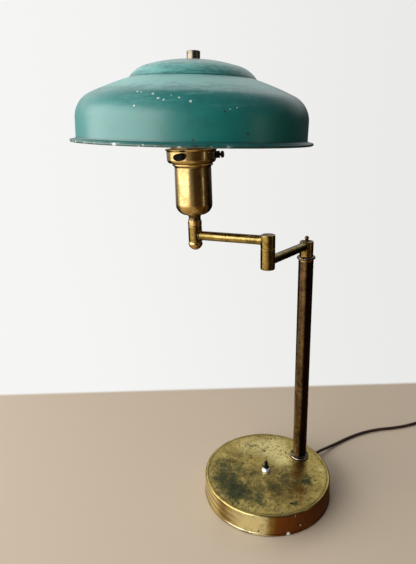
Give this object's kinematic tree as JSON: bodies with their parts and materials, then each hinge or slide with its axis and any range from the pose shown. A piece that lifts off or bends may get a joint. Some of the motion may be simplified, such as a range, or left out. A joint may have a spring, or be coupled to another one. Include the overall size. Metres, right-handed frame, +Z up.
{
  "type": "swing arm desk lamp",
  "caption": "Table lamp with a round weighted base, an upright column, a folding two-piece swing arm and a wide stepped enamelled shade on a brass lampholder.",
  "frame": {"origin": "centre of the round base on its underside, on the table", "axes": "+Z up the column; +Y away from the side with the switch in front of the column; +X towards the column side"},
  "size_m": [0.5951, 0.3035, 0.5912],
  "materials": {
    "aged_brass": "unlacquered spun and turned brass, aged olive brown with darker pits",
    "dark_brass": "brass darkened almost to brown",
    "bronzed_column": "brass tube with a dark bronze patina",
    "worn_ring": "turned brass, worn bright on its edge",
    "cast_weight": "rough cast",
    "green_felt": "pressed felt",
    "steel_hardware": "zinc plated",
    "turned_brass": "turned, unplated",
    "blackened_screw": "chemically blackened",
    "nickel_nut": "nickel plated, polished",
    "black_moulding": "moulded phenolic",
    "porcelain": "glazed",
    "bulb_aluminium": "spun",
    "frosted_glass": "frosted inside",
    "green_enamel": "teal green stoving enamel, chipped and chalky, over spun sheet",
    "lead_insulation": "insulated twin wire",
    "cord_jacket": "dark brown flexible jacket",
    "plug_moulding": "moulded brown",
    "plug_brass": "stamped"
  },
  "bodies": {
    "base": {"base_shell": "aged_brass", "base_weight": "cast_weight", "base_felt": "green_felt", "column_foot_ring": "worn_ring", "threaded_pipe": "steel_hardware", "pipe_washer": "steel_hardware", "pipe_nut": "steel_hardware", "column_tube": "bronzed_column", "column_top_ring": "worn_ring", "swivel_spindle": "turned_brass", "ball_nut": "aged_brass", "switch_housing": "black_moulding", "switch_bushing": "turned_brass", "switch_locknut": "steel_hardware", "switch_dome_nut": "nickel_nut", "base_leads": "lead_insulation", "cord_relief": "cord_jacket", "cord_run": "cord_jacket", "cord_coil": "cord_jacket", "cord_tail": "cord_jacket", "plug_body": "plug_moulding", "plug_blades": "plug_brass"},
    "switch_toggle": {"switch_lever": "black_moulding"},
    "inner_arm": {"hub_barrel": "aged_brass", "inner_arm_tube": "aged_brass", "knuckle_lower_barrel": "aged_brass", "knuckle_pin": "turned_brass", "inner_arm_lead": "lead_insulation"},
    "outer_arm": {"knuckle_upper_barrel": "aged_brass", "knuckle_cap": "aged_brass", "outer_arm_tube": "aged_brass", "post_barrel": "aged_brass", "post_set_screw": "blackened_screw", "outer_arm_lead": "lead_insulation"},
    "head": {"head_stem": "turned_brass", "dome_nut": "aged_brass", "post_collar": "aged_brass", "neck_ring": "dark_brass", "stem_locknut": "steel_hardware", "socket_husk": "aged_brass", "socket_sleeve": "black_moulding", "socket_insulator": "porcelain", "socket_screw_shell": "turned_brass", "socket_contact": "turned_brass", "bulb_cap": "bulb_aluminium", "bulb_glass": "frosted_glass", "fitter_collar": "aged_brass", "fitter_ring_nut": "dark_brass", "carrier_ring": "dark_brass", "carrier_wire_1": "steel_hardware", "carrier_wire_2": "steel_hardware", "carrier_wire_3": "steel_hardware", "carrier_plate": "dark_brass", "carrier_stud": "dark_brass", "seat_washer": "green_felt"},
    "shade": {"shade_shell": "green_enamel"},
    "finial": {"shade_finial": "aged_brass"},
    "front_screw": {"thumbscrew_front": "blackened_screw"},
    "right_screw": {"thumbscrew_right": "blackened_screw"},
    "back_screw": {"thumbscrew_back": "blackened_screw"}
  },
  "joints": [
    {"name": "switch_tip", "type": "hinge", "parent": "base", "child": "switch_toggle", "pos_m": [-0.001, -0.001, 0.0306], "axis": [1, 0, 0], "range_deg": [0, 24]},
    {"name": "column_swivel", "type": "hinge", "parent": "base", "child": "inner_arm", "pos_m": [0.0532, 0.0317, 0.355], "axis": [0, 0, 1], "range_deg": [-170, 170]},
    {"name": "knuckle_swivel", "type": "hinge", "parent": "inner_arm", "child": "outer_arm", "pos_m": [-0.00697, -0.04168, 0.3743], "axis": [0, 0, 1], "range_deg": [-86, 236]},
    {"name": "head_swivel", "type": "hinge", "parent": "outer_arm", "child": "head", "pos_m": [-0.09157, -0.00117, 0.386], "axis": [0, 0, 1], "range_deg": [-170, 170]},
    {"name": "shade_turn", "type": "hinge", "parent": "head", "child": "shade", "pos_m": [-0.09057, -0.00117, 0.5], "axis": [0.0471, 0, 0.9989], "continuous": true},
    {"name": "finial_turn", "type": "hinge", "parent": "head", "child": "finial", "pos_m": [-0.09057, -0.00117, 0.5], "axis": [0.0471, 0, 0.9989], "continuous": true},
    {"name": "front_screw_turn", "type": "hinge", "parent": "head", "child": "front_screw", "pos_m": [-0.09277, -0.00117, 0.479], "axis": [-0.3697, -0.9291, 0], "continuous": true},
    {"name": "right_screw_turn", "type": "hinge", "parent": "head", "child": "right_screw", "pos_m": [-0.09277, -0.00117, 0.479], "axis": [0.9895, 0.1444, 0], "continuous": true},
    {"name": "back_screw_turn", "type": "hinge", "parent": "head", "child": "back_screw", "pos_m": [-0.09277, -0.00117, 0.479], "axis": [-0.6198, 0.7848, 0], "continuous": true}
  ]
}
